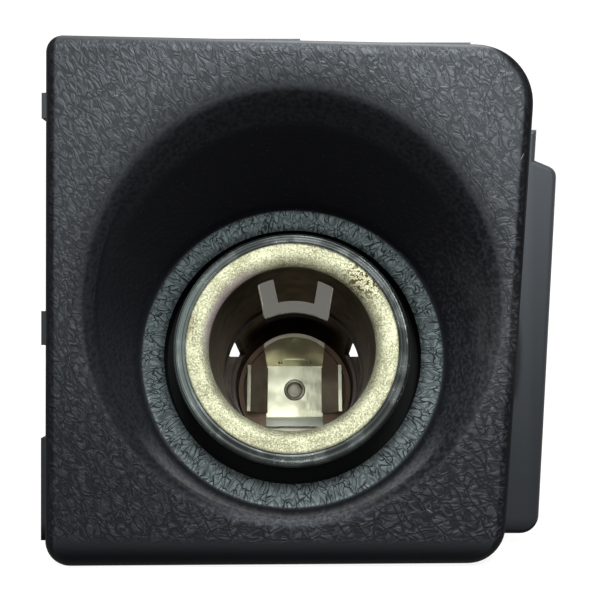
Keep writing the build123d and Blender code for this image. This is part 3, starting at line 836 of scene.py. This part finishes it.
def dress_nodes():
    """Gives every CAD node its finish; the nodes not named here are the trim clips."""
    rivet = sheet_metal("rivet_plate", *RIVET_PLATE)
    brass = sheet_metal("terminal_brass", *TERMINAL_BRASS)
    trim = sheet_metal("trim_clip_steel", *TRIM_CLIP_STEEL)
    board = phenolic_board()
    finishes = {
        "trim_panel": panel_plastic(),
        "socket_sleeve": sleeve_plastic(),
        "socket_barrel": plated_steel(),
        "contact_clip": clip_steel(),
        "contact_rivet": rivet,
        "inner_insulator": board,
        "rear_insulator": board,
        "rivet_washer": rivet,
        "positive_terminal": brass,
        "ground_terminal": brass,
        "connector_shroud": connector_plastic(),
    }
    for name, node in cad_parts.items():
        node.data.materials.clear()
        node.data.materials.append(finishes.get(name, trim))


# Stage
def seen_ray(tree):
    """1 for rays that show a background: seen by the camera, mirrored, or through something clear."""
    path = tree.nodes.new("ShaderNodeLightPath").outputs
    return largest(tree, path["Is Camera Ray"], path["Is Glossy Ray"], path["Is Transmission Ray"])


def backdrop_paper():
    """White paper that keeps the object's shadow, with a shaded patch behind the object."""
    material, tree = empty_material("backdrop_paper")
    offset = offset_from(tree, object_place(tree), SHADE_PLACE)
    away = length(tree, vector_node(tree, "MULTIPLY", {0: offset, 1: SHADE_SCALE})[0])
    clear = smooth(tree, away, SHADE_REACH[0] * MM, SHADE_REACH[1] * MM)
    colour = mix_colour(tree, clear, SHADE_COLOUR, PAPER_COLOUR)
    strength = times(tree, seen_ray(tree), mix_value(tree, clear, SHADE_GLOW, PAPER_GLOW))
    paper = make(tree, "ShaderNodeBsdfDiffuse", {"Color": colour}).outputs[0]
    glow = make(tree, "ShaderNodeEmission", {"Strength": strength}).outputs[0]
    show(tree, make(tree, "ShaderNodeAddShader", {0: paper, 1: glow}).outputs[0])
    return material


def make_backdrop():
    """A paper sweep: floor under the object, bending up to a wall behind it."""
    floor = cad_low.z / MM
    bend_start = PAPER_WALL - PAPER_BEND
    profile = [(PAPER_FRONT, floor), (bend_start, floor)]
    for step in range(1, BEND_STEPS + 1):
        turn = math.radians(90 * step / BEND_STEPS)
        profile.append((bend_start + PAPER_BEND * math.sin(turn), floor + PAPER_BEND * (1 - math.cos(turn))))
    profile.append((PAPER_WALL, PAPER_TOP))
    points = [(side * PAPER_HALF_WIDTH * MM, y * MM, z * MM) for y, z in profile for side in (-1, 1)]
    faces = [(2 * i, 2 * i + 1, 2 * i + 3, 2 * i + 2) for i in range(len(profile) - 1)]
    mesh = bpy.data.meshes.new("backdrop")
    mesh.from_pydata(points, [], faces)
    for polygon in mesh.polygons:
        polygon.use_smooth = True
    mesh.materials.append(backdrop_paper())
    sweep = bpy.data.objects.new("backdrop", mesh)
    bpy.context.scene.collection.objects.link(sweep)


def make_lights():
    """Key, window and side lights in front, and three soft lights on the back."""
    for name, place, target, size, power in LAMPS:
        light = bpy.data.lights.new(name, "AREA")
        light.shape = "SQUARE"
        light.size = size * MM
        light.energy = power
        lamp = bpy.data.objects.new(name, light)
        lamp.location = Vector(place) * MM
        lamp.rotation_mode = "QUATERNION"
        lamp.rotation_quaternion = (Vector(target) - Vector(place)).to_track_quat("-Z", "Y")
        bpy.context.scene.collection.objects.link(lamp)


def make_room():
    """The pale room past the paper, which lights the object only dimly."""
    world = bpy.data.worlds.new("room")
    world.use_nodes = True
    tree = world.node_tree
    background = tree.nodes["Background"].inputs
    put(tree, background["Color"], ROOM_COLOUR)
    put(tree, background["Strength"], mix_value(tree, seen_ray(tree), ROOM_LIGHT, ROOM_GLOW))
    bpy.context.scene.world = world


def make_camera():
    """The photograph's viewpoint, looking straight along +Y."""
    data = bpy.data.cameras.new("camera")
    data.sensor_width = SENSOR_WIDTH
    data.lens = SENSOR_WIDTH * FOCAL_PIXELS / PICTURE_PIXELS
    data.clip_start = CLIP_NEAR * MM
    data.clip_end = CLIP_FAR * MM
    camera = bpy.data.objects.new("camera", data)
    camera.location = Vector(CAMERA_PLACE) * MM
    camera.rotation_euler = (math.radians(90), 0, 0)
    bpy.context.scene.collection.objects.link(camera)
    bpy.context.scene.camera = camera


bpy.context.scene.view_settings.view_transform = "Standard"
dress_nodes()
make_backdrop()
make_lights()
make_room()
make_camera()
